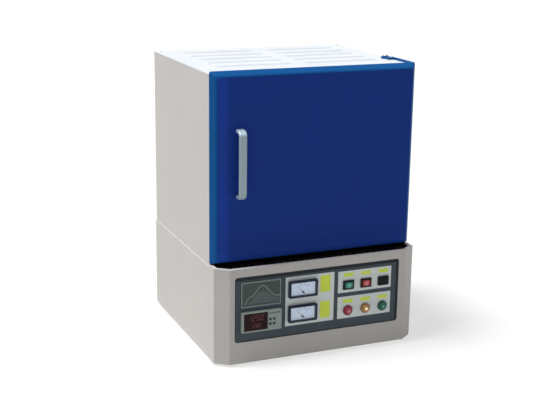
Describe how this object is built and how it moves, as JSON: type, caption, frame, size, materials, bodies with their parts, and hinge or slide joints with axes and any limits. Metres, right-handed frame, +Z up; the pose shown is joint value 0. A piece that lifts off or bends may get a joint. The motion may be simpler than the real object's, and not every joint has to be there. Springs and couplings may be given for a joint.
{
  "type": "box furnace",
  "caption": "Bench-top box furnace: a base cabinet with controls under an insulated chamber whose deep blue door carries its own insulation and swings on a side post.",
  "frame": {"origin": "under the middle of the furnace's overall box, on the plane that its feet stand on", "axes": "+X to the right of someone facing the door, +Y to the rear, +Z up"},
  "size_m": [0.5, 0.4928, 0.6619],
  "materials": {
    "foot_rubber": "matte",
    "grey_paint": "satin",
    "white_paint": "satin",
    "blue_paint": "satin",
    "black_paint": "matte",
    "panel_paint": "satin",
    "zinc_steel": "satin",
    "handle_steel": "polished",
    "aluminium": "satin",
    "core_steel": "satin",
    "plate_plastic": "satin",
    "curve_foil": "satin",
    "black_plastic": "satin",
    "navy_plastic": "satin",
    "silver_plastic": "satin",
    "green_plastic": "gloss",
    "red_plastic": "gloss",
    "amber_plastic": "gloss",
    "key_rubber": "matte",
    "fibre_board": "matte",
    "alumina": "matte",
    "silicide": "satin"
  },
  "bodies": {
    "cabinet": {"foot_front_left": "foot_rubber", "foot_front_right": "foot_rubber", "foot_rear_left": "foot_rubber", "foot_rear_right": "foot_rubber", "base_shell": "grey_paint", "base_deck": "grey_paint", "base_rear_panel": "grey_paint", "front_fascia": "grey_paint", "upper_left_panel": "grey_paint", "upper_right_panel": "grey_paint", "upper_rear_panel": "grey_paint", "top_panel": "white_paint", "intake_grille": "black_paint", "control_panel": "panel_paint", "mouth_frame": "zinc_steel", "inner_casing": "zinc_steel", "hinge_post": "zinc_steel", "power_controller": "aluminium", "transformer": "core_steel", "meter_plate": "plate_plastic", "button_plate": "plate_plastic", "lamp_plate": "plate_plastic", "curve_plate": "curve_foil", "start_button_housing": "black_plastic", "stop_button_housing": "black_plastic", "power_switch_housing": "black_plastic", "cable_gland": "black_plastic", "fan_frame": "black_plastic", "ammeter_case": "navy_plastic", "voltmeter_case": "navy_plastic", "controller_case": "silver_plastic", "power_lamp": "green_plastic", "alarm_lamp": "red_plastic", "heating_lamp": "amber_plastic", "chamber_insulation": "fibre_board", "chamber_lining": "fibre_board", "hearth_plate": "alumina", "element_holder_left": "alumina", "element_holder_right": "alumina", "thermocouple": "alumina", "heating_element_left": "silicide", "heating_element_right": "silicide"},
    "door": {"door_skin": "blue_paint", "door_frame": "zinc_steel", "door_insulation": "fibre_board", "door_plug": "fibre_board", "door_seal": "fibre_board", "door_handle": "handle_steel", "hinge_arm_top": "blue_paint", "hinge_arm_bottom": "blue_paint"},
    "start_button": {"start_button": "green_plastic"},
    "stop_button": {"stop_button": "red_plastic"},
    "power_rocker": {"power_rocker": "black_plastic"},
    "controller_key_1": {"controller_key_1": "key_rubber"},
    "controller_key_2": {"controller_key_2": "key_rubber"},
    "controller_key_3": {"controller_key_3": "key_rubber"},
    "controller_key_4": {"controller_key_4": "key_rubber"},
    "ammeter_pointer": {"ammeter_pointer": "aluminium"},
    "voltmeter_pointer": {"voltmeter_pointer": "aluminium"},
    "fan_rotor": {"fan_rotor": "black_plastic"}
  },
  "joints": [
    {"name": "door_hinge", "type": "hinge", "parent": "cabinet", "child": "door", "pos_m": [0.236, -0.06965, 0.443], "axis": [0, 0, 1], "range_deg": [0, 95]},
    {"name": "start_button_press", "type": "slide", "parent": "cabinet", "child": "start_button", "axis": [0, 1, 0], "range_m": [0, 0.003], "stiffness_N_per_m": 400, "springref_m": -0.004},
    {"name": "stop_button_press", "type": "slide", "parent": "cabinet", "child": "stop_button", "axis": [0, 1, 0], "range_m": [0, 0.003], "stiffness_N_per_m": 400, "springref_m": -0.004},
    {"name": "power_rocker_tilt", "type": "hinge", "parent": "cabinet", "child": "power_rocker", "pos_m": [0.161, -0.23885, 0.16075], "axis": [1, 0, 0], "range_deg": [0, 16]},
    {"name": "controller_key_1_press", "type": "slide", "parent": "cabinet", "child": "controller_key_1", "axis": [0, 1, 0], "range_m": [0, 0.0008], "stiffness_N_per_m": 600, "springref_m": -0.001},
    {"name": "controller_key_2_press", "type": "slide", "parent": "cabinet", "child": "controller_key_2", "axis": [0, 1, 0], "range_m": [0, 0.0008], "stiffness_N_per_m": 600, "springref_m": -0.001},
    {"name": "controller_key_3_press", "type": "slide", "parent": "cabinet", "child": "controller_key_3", "axis": [0, 1, 0], "range_m": [0, 0.0008], "stiffness_N_per_m": 600, "springref_m": -0.001},
    {"name": "controller_key_4_press", "type": "slide", "parent": "cabinet", "child": "controller_key_4", "axis": [0, 1, 0], "range_m": [0, 0.0008], "stiffness_N_per_m": 600, "springref_m": -0.001},
    {"name": "ammeter_needle", "type": "hinge", "parent": "cabinet", "child": "ammeter_pointer", "pos_m": [-0.045, -0.24065, 0.15925], "axis": [0, 1, 0], "range_deg": [0, 90], "stiffness_Nm_per_rad": 0.00002, "springref_deg": -17.19},
    {"name": "voltmeter_needle", "type": "hinge", "parent": "cabinet", "child": "voltmeter_pointer", "pos_m": [-0.045, -0.24065, 0.10075], "axis": [0, 1, 0], "range_deg": [0, 90], "stiffness_Nm_per_rad": 0.00002, "springref_deg": -17.19},
    {"name": "fan_spin", "type": "hinge", "parent": "cabinet", "child": "fan_rotor", "pos_m": [0.14, 0.20635, 0.11], "axis": [0, 1, 0], "continuous": true}
  ]
}
